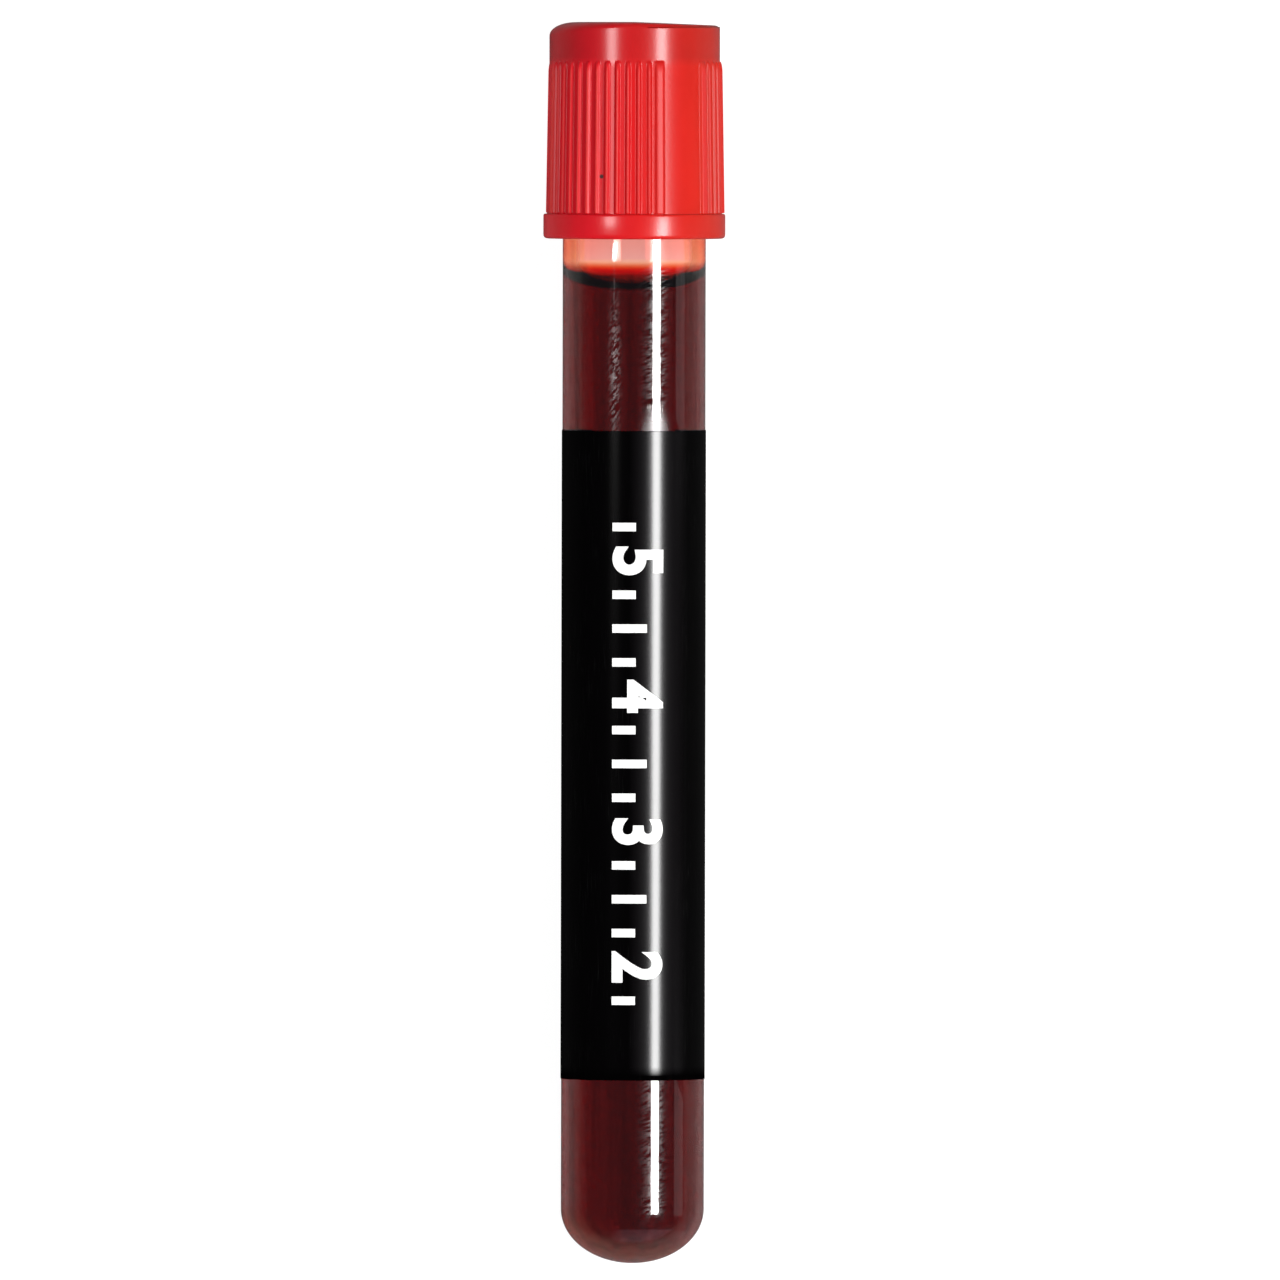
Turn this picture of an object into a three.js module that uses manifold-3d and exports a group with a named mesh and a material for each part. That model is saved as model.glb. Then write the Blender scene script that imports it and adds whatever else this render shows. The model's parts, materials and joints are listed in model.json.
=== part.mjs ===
// Blood collection tube of the 13 x 100 mm size: a clear round-bottomed tube with a wrap-round label, filled
// with blood and closed by a ribbed safety cap that carries a rubber stopper. Millimetres, +Z up.
//
// Every piece is drawn upright first, turned about the tube's own axis, with height 0 at the tip of the base.
// Bearings run round that axis from the front, positive to the right. At the end the whole tube is laid down
// on its side, cap towards +X and front upwards, touching the floor with the cap's flange and its own base.

import * as THREE from "three";
import { mergeVertices } from "three/addons/utils/BufferGeometryUtils.js";
import Module from "manifold-3d";

const wasm = await Module();
wasm.setup();

// ---- Driving dimensions ----------------------------------------------------------------------------------

// Tube
const TUBE_LENGTH = 100;
const TUBE_DIAMETER = 12.7;
const TUBE_WALL = 1.2;
const TUBE_BASE_HEIGHT = 4.85; // the round base is flatter than a half ball
const TUBE_BASE_WALL = 1.3;

// Cap: a skirt over the tube, a top plate with a needle opening, and a needle well that hangs from it
const CAP_HEIGHT = 19.2;
const CAP_OVERLAP = 9; // how far the skirt comes down over the tube
const CAP_WALL = 0.92; // the skirt, at the plain band round the top
const CAP_DRAFT = 0.2; // how much wider the skirt is where it meets the flange
const CAP_BAND_HEIGHT = 3.45;
const CAP_TOP_PLATE = 1.4;
const CAP_CROWN_WALL = 1.15; // beside the hollow behind the needle well
const CAP_SHOULDER_DROP = 1.2; // height of the soft edge round the top
const FLANGE_OVERHANG = 0.31; // beyond the skirt
const FLANGE_HEIGHT = 2.2;
const FLANGE_ROUND = 0.4;
const SKIRT_LEAD_IN = 0.45;
const SNAP_UNDERCUT = 0.4; // depth of the groove that holds the stopper
const SNAP_SLOPE = 0.5;
const WELL_RADIUS = 4;
const WELL_WALL = 0.9;
const WELL_MOUTH_ROUND = 0.4;
const WELL_RIM = 0.87; // the flat ring round the mouth of the well

// Grip ribs: three groups, with a smooth panel between each and the next
const RIB_GROUPS = 3;
const RIBS_IN_GROUP = 13;
const RIBS_LEFT_OUT = 4; // rib places taken by a panel
const RIB_WIDTH = 0.46;
const END_RIB_WIDTH = 0.86; // the ribs that border a panel are wider
const RIB_HEIGHT = 0.25;
const RIB_ROUND = 0.12; // both edges of the crest
const RIB_END_LENGTH = 1.1; // the upper end slopes back into the skirt
const PANEL_BEARING = 34.5; // degrees

// Stopper
const STOPPER_FLANGE_HEIGHT = 3.2;
const STOPPER_ROUND = 0.3;
const PLUG_LENGTH = 6;
const PLUG_WALL = 1.9;
const PLUG_WAIST = 0.22; // depth of the relief between the two sealing bands
const PLUG_LEAD_IN = 0.4;
const BOSS_HEIGHT = 1.15;
const DIMPLE_RADIUS = 2.7;
const DIMPLE_DEPTH = 0.9;
const MEMBRANE = 3; // rubber that the needle goes through, between the dimple and the hollow of the plug

// Label
const LABEL_ABOVE_BASE = 16.4;
const LABEL_BELOW_CAP = 17;
const LABEL_THICKNESS = 0.1;
const LABEL_WINDOW = 35; // degrees left clear at the back between the ends of the label, to the nearest flat

// Blood
const HEADSPACE = 8.1; // from the plug down to the blood, on the axis
const BLOOD_SLANT = 7; // degrees: the tube was leaning back when its blood set
const MENISCUS_RISE = 2.1;
const MENISCUS_WIDTH = 3.6;

// Clearances
const SEAT_GAP = 0.3; // round the stopper, and between the closure and the tube
const FILM_GAP = 0.1; // between the wall and what lies on it: blood inside, label outside

const FACETS = 28; // flats round each turned piece; one of them faces the floor
const TO_CORNER = 1 / Math.cos(Math.PI / FACETS); // radii are to the middle of a flat, and corners lie further out

// ---- Sizes worked out from them --------------------------------------------------------------------------

const tubeRadius = TUBE_DIAMETER / 2;
const boreRadius = tubeRadius - TUBE_WALL;

const capBottom = TUBE_LENGTH - CAP_OVERLAP;
const capTop = capBottom + CAP_HEIGHT;
const skirtBore = tubeRadius + SEAT_GAP;
const snapBore = skirtBore + SNAP_UNDERCUT;
const bandRadius = skirtBore + CAP_WALL;
const wellMouth = WELL_RADIUS + WELL_MOUTH_ROUND;
const bandBottom = capTop - CAP_BAND_HEIGHT;
const flangeTop = capBottom + FLANGE_HEIGHT;
const skirtFootRadius = bandRadius + CAP_DRAFT;
const flangeRadius = skirtFootRadius + FLANGE_OVERHANG;

const stopperBottom = TUBE_LENGTH + SEAT_GAP;
const stopperTop = stopperBottom + STOPPER_FLANGE_HEIGHT;
const stopperRadius = snapBore - SEAT_GAP;
const plugRadius = boreRadius - SEAT_GAP;
const plugBottom = stopperBottom - PLUG_LENGTH;
const bossRadius = WELL_RADIUS - SEAT_GAP;
const bossTop = stopperTop + BOSS_HEIGHT;

const radians = THREE.MathUtils.degToRad;

// ---- Helpers ---------------------------------------------------------------------------------------------

// A point of an outline: distance from the axis, and height.
const at = (radius, height) => new THREE.Vector2(radius, height);

// The points between the two ends of a quarter of an ellipse, both ends left out.
function quarter(from, to, centre, steps = 3) {
  const a = from.clone().sub(centre);
  const b = to.clone().sub(centre);
  return Array.from({ length: steps - 1 }, (_, i) => {
    const turn = ((i + 1) / steps) * (Math.PI / 2);
    return centre.clone().addScaledVector(a, Math.cos(turn)).addScaledVector(b, Math.sin(turn));
  });
}

// Turns an outline about the upright axis, with the middle of a flat at bearing 0. The outline is the section
// through the middle of a flat. One that starts on the axis also ends there; any other is the section of a
// ring, and is closed.
function turned(outline) {
  const closed = outline[0].x === 0 ? outline : [...outline, outline[0]];
  const upright = new THREE.LatheGeometry(closed, FACETS, Math.PI / FACETS).rotateX(Math.PI / 2);
  return upright.scale(TO_CORNER, TO_CORNER, 1);
}

// A closed geometry as a solid that can be cut and joined.
function solid(geometry) {
  const bare = geometry.clone();
  bare.deleteAttribute("normal");
  bare.deleteAttribute("uv");
  const merged = mergeVertices(bare);
  const vertProperties = merged.attributes.position.array;
  const triVerts = new Uint32Array(merged.index.array);
  return new wasm.Manifold(new wasm.Mesh({ numProp: 3, vertProperties, triVerts }));
}

// A solid back as a geometry.
function geometryOf(made) {
  const { vertProperties, triVerts } = made.getMesh();
  const geometry = new THREE.BufferGeometry();
  geometry.setAttribute("position", new THREE.BufferAttribute(vertProperties, 3));
  geometry.setIndex(new THREE.BufferAttribute(triVerts, 1));
  geometry.computeVertexNormals();
  return geometry;
}

function piece(name, geometry, material) {
  const mesh = new THREE.Mesh(geometry, material);
  mesh.name = name;
  return mesh;
}

const finish = (color, roughness, opacity = 1) =>
  new THREE.MeshStandardMaterial({ color, roughness, metalness: 0, opacity, transparent: opacity < 1 });

// ---- Materials -------------------------------------------------------------------------------------------

const clearPlastic = finish(0xeef2f2, 0.05, 0.3);
const redPlastic = finish(0xd9201c, 0.32);
const stopperRubber = finish(0x8c2a26, 0.7);
const blackFilm = finish(0x0b0b0c, 0.3);
const darkBlood = finish(0x3c0d10, 0.15);

// ---- Tube ------------------------------------------------------------------------------------------------

// Outside of the base, wall and rounded lip, then down the bore to the inside of the base.
function tubeGeometry() {
  const baseSteps = 7;
  const baseCentre = at(0, TUBE_BASE_HEIGHT);
  const lip = TUBE_WALL / 2;
  const outerTip = at(0, 0);
  const outerSide = at(tubeRadius, TUBE_BASE_HEIGHT);
  const lipOuter = at(tubeRadius, TUBE_LENGTH - lip);
  const lipTop = at(tubeRadius - lip, TUBE_LENGTH);
  const lipInner = at(boreRadius, TUBE_LENGTH - lip);
  const lipCentre = at(lipTop.x, lipOuter.y);
  const innerSide = at(boreRadius, TUBE_BASE_HEIGHT);
  const innerTip = at(0, TUBE_BASE_WALL);
  return turned([
    outerTip,
    ...quarter(outerTip, outerSide, baseCentre, baseSteps),
    outerSide,
    lipOuter,
    ...quarter(lipOuter, lipTop, lipCentre, 2),
    lipTop,
    ...quarter(lipTop, lipInner, lipCentre, 2),
    lipInner,
    innerSide,
    ...quarter(innerSide, innerTip, baseCentre, baseSteps),
    innerTip,
  ]);
}

// ---- Cap -------------------------------------------------------------------------------------------------

// The outside of the moulding, upwards: rounded flange, drafted skirt, plain band, soft shoulder, top plate.
function capOutside() {
  const flangeUnder = at(flangeRadius - FLANGE_ROUND, capBottom);
  const flangeFace = at(flangeRadius, capBottom + FLANGE_ROUND);
  const shoulderFoot = at(bandRadius, capTop - CAP_SHOULDER_DROP);
  const shoulderTop = at(wellMouth + WELL_RIM, capTop);
  return [
    flangeUnder,
    ...quarter(flangeUnder, flangeFace, at(flangeUnder.x, flangeFace.y)),
    flangeFace,
    at(flangeRadius, flangeTop),
    at(skirtFootRadius, flangeTop),
    at(bandRadius, bandBottom),
    shoulderFoot,
    ...quarter(shoulderFoot, shoulderTop, at(shoulderTop.x, shoulderFoot.y), 4),
    shoulderTop,
  ];
}

// The inside, downwards: rounded mouth, needle well, hollow behind the well, groove that the stopper snaps
// into, skirt bore with a lead-in for the tube.
function capInside() {
  const mouth = at(wellMouth, capTop);
  const wellTop = at(WELL_RADIUS, capTop - WELL_MOUTH_ROUND);
  const wellBottom = stopperTop + SEAT_GAP;
  const wellOuter = WELL_RADIUS + WELL_WALL;
  const plateUnderside = capTop - CAP_TOP_PLATE;
  const crownBore = bandRadius - CAP_CROWN_WALL;
  return [
    mouth,
    ...quarter(mouth, wellTop, at(mouth.x, wellTop.y), 2),
    wellTop,
    at(WELL_RADIUS, wellBottom),
    at(wellOuter, wellBottom),
    at(wellOuter, plateUnderside),
    at(crownBore, plateUnderside),
    at(crownBore, stopperTop + SEAT_GAP + SNAP_SLOPE),
    at(snapBore, stopperTop + SEAT_GAP),
    at(snapBore, stopperBottom),
    at(skirtBore, stopperBottom - SNAP_SLOPE),
    at(skirtBore, capBottom + SKIRT_LEAD_IN),
    at(skirtBore + SKIRT_LEAD_IN, capBottom),
  ];
}

// One rib at bearing 0: its side outline drawn out to its width, with both edges of the crest rounded. The
// foot runs into the flange, the crest follows the skirt's draft, and the upper end slopes back to the band.
function ribGeometry(width) {
  const root = bandRadius - RIB_HEIGHT;
  const foot = flangeTop - RIB_ROUND * 2;
  const crestFoot = at(skirtFootRadius + RIB_HEIGHT, foot);
  const crestTop = at(bandRadius + RIB_HEIGHT, bandBottom - RIB_END_LENGTH);
  const end = at(bandRadius, bandBottom);
  const side = new THREE.Shape([
    at(root, foot),
    crestFoot,
    crestTop,
    ...quarter(crestTop, end, at(end.x, crestTop.y)),
    end,
    at(root, bandBottom),
  ]);
  const rib = new THREE.ExtrudeGeometry(side, {
    depth: width - 2 * RIB_ROUND,
    bevelThickness: RIB_ROUND,
    bevelSize: RIB_ROUND,
    bevelOffset: -RIB_ROUND,
    bevelSegments: 2,
  });
  return rib.translate(0, 0, RIB_ROUND - width / 2).rotateX(Math.PI / 2).rotateZ(-Math.PI / 2);
}

// The rib places go evenly round the skirt, and the places under a panel stay empty.
function capGeometry() {
  const placesInSector = RIBS_IN_GROUP + RIBS_LEFT_OUT;
  const pitch = 360 / (RIB_GROUPS * placesInSector);
  const firstRib = PANEL_BEARING + ((RIBS_LEFT_OUT + 1) / 2) * pitch;
  const middleRib = solid(ribGeometry(RIB_WIDTH));
  const endRib = solid(ribGeometry(END_RIB_WIDTH));
  let cap = solid(turned([...capOutside(), ...capInside()]));
  for (let group = 0; group < RIB_GROUPS; group++) {
    for (let i = 0; i < RIBS_IN_GROUP; i++) {
      const rib = i === 0 || i === RIBS_IN_GROUP - 1 ? endRib : middleRib;
      cap = cap.add(rib.rotate([0, 0, firstRib + (group * placesInSector + i) * pitch]));
    }
  }
  return geometryOf(cap);
}

// ---- Stopper ---------------------------------------------------------------------------------------------

// The plug that goes into the bore: hollowed from below so that it can be squeezed in, with a lead-in and two
// sealing bands.
function plugOutline() {
  const hollowRadius = plugRadius - PLUG_WALL;
  const hollowTip = at(0, bossTop - DIMPLE_DEPTH - MEMBRANE);
  const hollowSide = at(hollowRadius, hollowTip.y - hollowRadius / 2);
  const bandHeight = PLUG_LENGTH / 5;
  return [
    hollowTip,
    ...quarter(hollowTip, hollowSide, at(0, hollowSide.y)),
    hollowSide,
    at(hollowRadius, plugBottom),
    at(plugRadius - PLUG_LEAD_IN, plugBottom),
    at(plugRadius, plugBottom + bandHeight),
    at(plugRadius, plugBottom + 2 * bandHeight),
    at(plugRadius - PLUG_WAIST, plugBottom + 2.5 * bandHeight),
    at(plugRadius - PLUG_WAIST, plugBottom + 3.5 * bandHeight),
    at(plugRadius, plugBottom + 4 * bandHeight),
    at(plugRadius, stopperBottom),
  ];
}

// Above the plug, a flange that the cap's groove holds, and a boss with a dimple that guides the needle.
function stopperGeometry() {
  const dimpleEdge = at(DIMPLE_RADIUS, bossTop);
  const dimpleTip = at(0, bossTop - DIMPLE_DEPTH);
  return turned([
    ...plugOutline(),
    at(stopperRadius - STOPPER_ROUND, stopperBottom),
    at(stopperRadius, stopperBottom + STOPPER_ROUND),
    at(stopperRadius, stopperTop - STOPPER_ROUND),
    at(stopperRadius - STOPPER_ROUND, stopperTop),
    at(bossRadius, stopperTop),
    at(bossRadius, bossTop - STOPPER_ROUND),
    at(bossRadius - STOPPER_ROUND, bossTop),
    dimpleEdge,
    ...quarter(dimpleEdge, dimpleTip, at(0, bossTop)),
    dimpleTip,
  ]);
}

// ---- Label -----------------------------------------------------------------------------------------------

// A flat film bent round the tube, with the same flats as the tube, its two ends stopping short of each
// other at the back.
function labelGeometry() {
  const inner = (tubeRadius + FILM_GAP) * TO_CORNER;
  const outer = (tubeRadius + FILM_GAP + LABEL_THICKNESS) * TO_CORNER;
  const flat = (2 * Math.PI) / FACETS;
  const flatsEachSide = Math.round((Math.PI - radians(LABEL_WINDOW) / 2) / flat - 0.5);
  const ring = (radius) =>
    Array.from({ length: 2 * flatsEachSide + 2 }, (_, i) => {
      const bearing = (i - flatsEachSide - 0.5) * flat;
      return at(radius * Math.sin(bearing), -radius * Math.cos(bearing));
    });
  const section = new THREE.Shape([...ring(outer), ...ring(inner).reverse()]);
  const depth = capBottom - LABEL_BELOW_CAP - LABEL_ABOVE_BASE;
  return new THREE.ExtrudeGeometry(section, { depth, bevelEnabled: false }).translate(0, 0, LABEL_ABOVE_BASE);
}

// ---- Blood -----------------------------------------------------------------------------------------------

// A column with the shape of the inside of the tube. Its surface climbs at the wall, and rises towards the
// back, because it set while the tube leaned.
function bloodGeometry() {
  const radius = boreRadius - FILM_GAP;
  const level = plugBottom - HEADSPACE;
  const tip = at(0, TUBE_BASE_WALL + FILM_GAP);
  const side = at(radius, TUBE_BASE_HEIGHT);
  const contact = at(radius, level + MENISCUS_RISE);
  const pool = at(radius - MENISCUS_WIDTH, level);
  const column = turned([
    tip,
    ...quarter(tip, side, at(0, TUBE_BASE_HEIGHT), 6),
    side,
    contact,
    ...quarter(contact, pool, at(pool.x, contact.y)),
    pool,
    at(0, level),
  ]);
  const slope = Math.tan(radians(BLOOD_SLANT));
  const point = column.getAttribute("position");
  for (let i = 0; i < point.count; i++) {
    const onSurface = point.getZ(i) >= level;
    if (onSurface) point.setZ(i, point.getZ(i) + slope * point.getY(i));
  }
  return column;
}

// ---- The tube, laid down on its side ---------------------------------------------------------------------

const part = new THREE.Group();
part.add(
  piece("tube", tubeGeometry(), clearPlastic),
  piece("cap", capGeometry(), redPlastic),
  piece("stopper", stopperGeometry(), stopperRubber),
  piece("label", labelGeometry(), blackFilm),
  piece("blood", bloodGeometry(), darkBlood),
);

// The flange is wider than the tube, so the axis rises a little towards the cap. Both rest on a flat.
const restTilt = Math.atan2(flangeRadius - tubeRadius, capBottom + FLANGE_ROUND - TUBE_BASE_HEIGHT);
const right = new THREE.Vector3(0, -1, 0);
const upright = new THREE.Vector3(Math.cos(restTilt), 0, Math.sin(restTilt));
const back = new THREE.Vector3().crossVectors(upright, right);
part.setRotationFromMatrix(new THREE.Matrix4().makeBasis(right, back, upright));

// The floor is at height 0, and the origin lies on it under the middle of the object.
const extent = new THREE.Box3().setFromObject(part, true);
const middle = extent.getCenter(new THREE.Vector3());
part.position.set(-middle.x, -middle.y, -extent.min.z);

export default part;
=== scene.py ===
# %% [markdown]
# # A blood collection tube, piece by piece
#
# The object is a clear plastic tube, 13 mm across and 100 mm long, nearly full of blood. A black label is
# wrapped round it, and a ribbed red safety cap with a rubber stopper inside closes it. It lies on its side,
# because a round-bottomed tube can't stand by itself, and the camera looks straight down on it.
#
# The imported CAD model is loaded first, as a fixed frame. It gives every position. Its five nodes are made of
# flats, though, which is right for collision and wrong for glass-clear plastic: each flat would show. So
# every node is replaced here by a smooth piece on the same axis and with the same sizes.

# %% Load the frame
import json
import math

import bmesh
import bpy
import numpy as np
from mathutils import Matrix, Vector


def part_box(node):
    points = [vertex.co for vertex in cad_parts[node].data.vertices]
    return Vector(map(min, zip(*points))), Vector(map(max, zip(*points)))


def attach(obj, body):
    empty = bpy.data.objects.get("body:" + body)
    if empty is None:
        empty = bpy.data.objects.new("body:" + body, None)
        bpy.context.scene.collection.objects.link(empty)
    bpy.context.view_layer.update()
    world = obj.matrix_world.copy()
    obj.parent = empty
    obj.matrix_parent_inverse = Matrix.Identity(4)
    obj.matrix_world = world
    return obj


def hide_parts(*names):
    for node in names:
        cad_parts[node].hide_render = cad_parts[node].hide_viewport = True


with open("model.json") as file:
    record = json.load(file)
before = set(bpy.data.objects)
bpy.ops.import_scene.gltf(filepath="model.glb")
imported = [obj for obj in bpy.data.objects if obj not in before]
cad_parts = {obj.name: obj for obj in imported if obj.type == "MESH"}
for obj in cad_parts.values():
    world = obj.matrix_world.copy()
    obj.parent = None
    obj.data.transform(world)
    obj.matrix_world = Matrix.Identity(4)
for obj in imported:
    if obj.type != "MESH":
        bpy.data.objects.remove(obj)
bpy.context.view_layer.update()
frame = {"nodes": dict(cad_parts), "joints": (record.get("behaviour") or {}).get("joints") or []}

# %% [markdown]
# ## The axis that everything is turned about
#
# The tube, its blood, the cap and the stopper are all round about one line. That line isn't level: the
# cap's flange is wider than the tube, so the cap end lies a little higher. The frame tells which way the line
# runs, because the closure slides off along it, and the tube's lowest vertex along it is the tip of the base.
#
# A place on the tube is then given as three plain numbers: a distance from the axis, a bearing round it from
# the front, positive to the right, and a height above the tip. Sizes are in millimetres, as on a drawing, and
# are turned into metres only when a piece gets its place.

# %% Axis, front and right
MM = 0.001


def corners_of(node):
    """All vertices of a CAD node, one row each."""
    mesh = frame["nodes"][node].data
    points = np.empty(3 * len(mesh.vertices))
    mesh.vertices.foreach_get("co", points)
    return points.reshape(-1, 3)


AXIS = np.array(frame["joints"][0]["axis"])
AXIS /= np.linalg.norm(AXIS)
RIGHT = np.array([0.0, -1.0, 0.0])
FRONT = np.cross(RIGHT, AXIS)
tube_points = corners_of("tube")
TIP = tube_points[np.argmin(tube_points @ AXIS)]
print("tip of the base", TIP.round(6), "axis", AXIS.round(6), "front", FRONT.round(6))


# %% Places in metres
def placed(radius, bearing, height):
    """Tip, plus height along the axis, plus radius along the direction that bearing points in: sine of the
    bearing to the right and cosine of it to the front. Millimetres and radians in, metres out."""
    radius, bearing, height = np.broadcast_arrays(radius, bearing, height)
    outwards = np.sin(bearing)[..., None] * RIGHT + np.cos(bearing)[..., None] * FRONT
    return TIP + MM * (height[..., None] * AXIS + radius[..., None] * outwards)


def span(node):
    """Lowest and highest height of a CAD node, and its greatest half width across the flats."""
    heights = (corners_of(node) - TIP) @ AXIS / MM
    low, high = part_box(node)
    return heights.min(), heights.max(), (high.y - low.y) / 2 / MM


for node in sorted(frame["nodes"]):
    print(node, "from %.2f to %.2f mm, radius %.3f mm" % span(node))

# %% [markdown]
# ## Outlines and skins
#
# Turned and moulded pieces are best described by their outline, as a lathe worker or a mould maker would
# draw it. Blender could spin a curve or use the Screw modifier, but the ribs of the cap and the surface of the
# blood change with the bearing. So each piece is a grid: the outline gives the rows, the bearings give the
# columns, and radius and height may vary over both. One function turns any such grid into a closed mesh.


# %% Outlines with softened corners
def outline(corners, ring=False, steps=4):
    """Rows of (radius, height) along corners given as (radius, height, cut). Each corner is cut back by its
    cut along both of its sides, and the curve between the cuts blends the two sides: (1-t)^2 times the
    first cut, plus 2t(1-t) times the corner, plus t^2 times the second cut. A cut of 0 leaves a point."""
    rows = []
    count = len(corners)
    t = np.linspace(0, 1, steps + 1)[:, None]
    for i, (radius, height, cut) in enumerate(corners):
        here = np.array([radius, height])
        if cut == 0 or (not ring and i in (0, count - 1)):
            rows.append(here[None])
            continue
        before = np.array(corners[i - 1][:2]) - here
        after = np.array(corners[(i + 1) % count][:2]) - here
        a = here + before * min(cut / np.hypot(*before), 0.49)
        b = here + after * min(cut / np.hypot(*after), 0.49)
        rows.append((1 - t) ** 2 * a + 2 * t * (1 - t) * here + t**2 * b)
    return np.concatenate(rows)


def quarter(start, end, centre, steps):
    """Corners along a quarter of an ellipse from start to end, both included: the centre, plus the cosine of
    the turn times the way to start, plus the sine of it times the way to end."""
    turn = np.linspace(0, math.pi / 2, steps + 1)[:, None]
    start, end, centre = np.array(start), np.array(end), np.array(centre)
    points = centre + np.cos(turn) * (start - centre) + np.sin(turn) * (end - centre)
    return [(radius, height, 0) for radius, height in points]


def straight(start, end, steps):
    """Corners at even distances from start to end, both included."""
    points = np.linspace(start, end, steps + 1)
    return [(radius, height, 0) for radius, height in points]


# %% Skins
def skin(name, radius, bearing, height, round_=True, ring=False):
    """Makes the mesh over a grid of radius, bearing and height. Rows follow the outline anticlockwise, seen
    with the axis on the left, and columns follow the bearing. Columns close on themselves if round_, rows if
    ring. A first or last row on the axis becomes one point. Faces point outwards."""
    radius, bearing, height = np.broadcast_arrays(radius, bearing, height)
    rows, columns = radius.shape
    point = np.arange(rows * columns).reshape(rows, columns)
    point[np.all(radius < 1e-9, axis=1)] = point[np.all(radius < 1e-9, axis=1), :1]
    used, number = np.unique(point, return_inverse=True)
    number = number.reshape(rows, columns)
    this = number if ring else number[:-1]
    above = np.roll(number, -1, axis=0) if ring else number[1:]
    if not round_:
        quads = np.stack([this[:, :-1], this[:, 1:], above[:, 1:], above[:, :-1]], -1)
    else:
        quads = np.stack([this, np.roll(this, -1, 1), np.roll(above, -1, 1), above], -1)
    quads = quads.reshape(-1, 4)
    low_pole, high_pole = quads[:, 0] == quads[:, 1], quads[:, 2] == quads[:, 3]
    faces = quads[~low_pole & ~high_pole].tolist()
    faces += quads[low_pole][:, [0, 2, 3]].tolist() + quads[high_pole][:, :3].tolist()
    mesh = bpy.data.meshes.new(name)
    mesh.from_pydata(placed(radius, bearing, height).reshape(-1, 3)[used], [], faces)
    mesh.shade_smooth()
    mesh.update()
    made = bpy.data.objects.new(name, mesh)
    bpy.context.scene.collection.objects.link(made)
    return made, used


def face_places(made):
    """Where the middle of each face is: distance from the axis in millimetres, bearing, height."""
    centres = np.empty(3 * len(made.data.polygons))
    made.data.polygons.foreach_get("center", centres)
    centres = (centres.reshape(-1, 3) - TIP) / MM
    to_front, to_right = centres @ FRONT, centres @ RIGHT
    return np.hypot(to_front, to_right), np.arctan2(to_right, to_front), centres @ AXIS


def report(made):
    """Prints a piece's faces and its volume in cubic millimetres, which is positive if it isn't inside out."""
    work = bmesh.new()
    work.from_mesh(made.data)
    volume = work.calc_volume(signed=True) / MM**3
    loose = sum(not edge.is_manifold for edge in work.edges)
    triangles = sum(len(face.verts) - 2 for face in work.faces)
    work.free()
    print(f"{made.name}: {triangles} triangles, {volume:.1f} mm3, {loose} open edges")


def around(count):
    """Even bearings all the way round, the first of them at the front."""
    return np.arange(count) * 2 * math.pi / count


# %% [markdown]
# ## Materials as small recipes
#
# Blender's Principled shader covers every finish here: clear plastic, coloured plastic, rubber, film, ink and
# a dyed liquid. What makes each one look real is the pattern that feeds it, so two short helpers keep each
# recipe readable. One makes the shader with its fixed values, and the other adds a node, where a value may be
# a number or the output of another node. Patterns are read from object coordinates: every piece sits at the
# origin with its place in its mesh, so these are metres in the frame, and nothing slides when a piece moves.


# %% Shaders and nodes
def finish(name, values):
    """A material with these fixed values on its Principled shader: (material, shader)."""
    material = bpy.data.materials.new(name)
    material.use_nodes = True
    shader = material.node_tree.nodes["Principled BSDF"]
    for socket, value in values.items():
        shader.inputs[socket].default_value = value
    return material, shader


def add(material, kind, values=None, **settings):
    """Adds a node to a material. Each of its inputs takes a number, a colour, or another node's output."""
    tree = material.node_tree
    made = tree.nodes.new("ShaderNode" + kind)
    for setting, value in settings.items():
        setattr(made, setting, value)
    for socket, value in (values or {}).items():
        if isinstance(value, bpy.types.NodeSocket):
            tree.links.new(value, made.inputs[socket])
        else:
            made.inputs[socket].default_value = value
    return made


def feed(material, output, socket):
    """Links one output to one input."""
    material.node_tree.links.new(output, socket)


def stretched(material, scale, turn=0.0):
    """Object coordinates, turned about Z and then multiplied along X, Y and Z, so that a pattern can run in
    streaks. A Mapping node of the texture kind turns first and divides last, hence the 1 / scale."""
    place = add(material, "TexCoord").outputs["Object"]
    values = {"Vector": place, "Rotation": (0, 0, math.radians(turn)), "Scale": tuple(1 / s for s in scale)}
    return add(material, "Mapping", values, vector_type="TEXTURE").outputs[0]


def grain(material, vector, scale, detail=2.0, roughness=0.5):
    """Cloudy noise, around 0.5: its smallest clouds are about 1 / scale metres wide."""
    values = {"Vector": vector, "Scale": scale, "Detail": detail, "Roughness": roughness}
    return add(material, "TexNoise", values).outputs[0]


def between(material, value, low, high, to_low=0.0, to_high=1.0):
    """Maps low..high of a value to to_low..to_high, and stays there beyond."""
    values = {0: value, 1: low, 2: high, 3: to_low, 4: to_high}
    return add(material, "MapRange", values).outputs[0]


def blended(material, factor, first, second):
    """The first colour where the factor is 0 and the second where it is 1."""
    mix = add(material, "Mix", data_type="RGBA")
    feed(material, factor, mix.inputs[0])
    for socket, colour in ((mix.inputs[6], first), (mix.inputs[7], second)):
        if isinstance(colour, bpy.types.NodeSocket):
            feed(material, colour, socket)
        else:
            socket.default_value = (*colour, 1)
    return mix.outputs[2]


def times(material, first, second, how="MULTIPLY"):
    """Two numbers combined."""
    return add(material, "Math", {0: first, 1: second}, operation=how).outputs[0]


def relief(material, height, strength, distance):
    """A bump normal from a height from 0 to 1, which stands for distance metres."""
    values = {"Height": height, "Strength": strength, "Distance": distance}
    return add(material, "Bump", values).outputs[0]


print("helpers ready")

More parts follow.
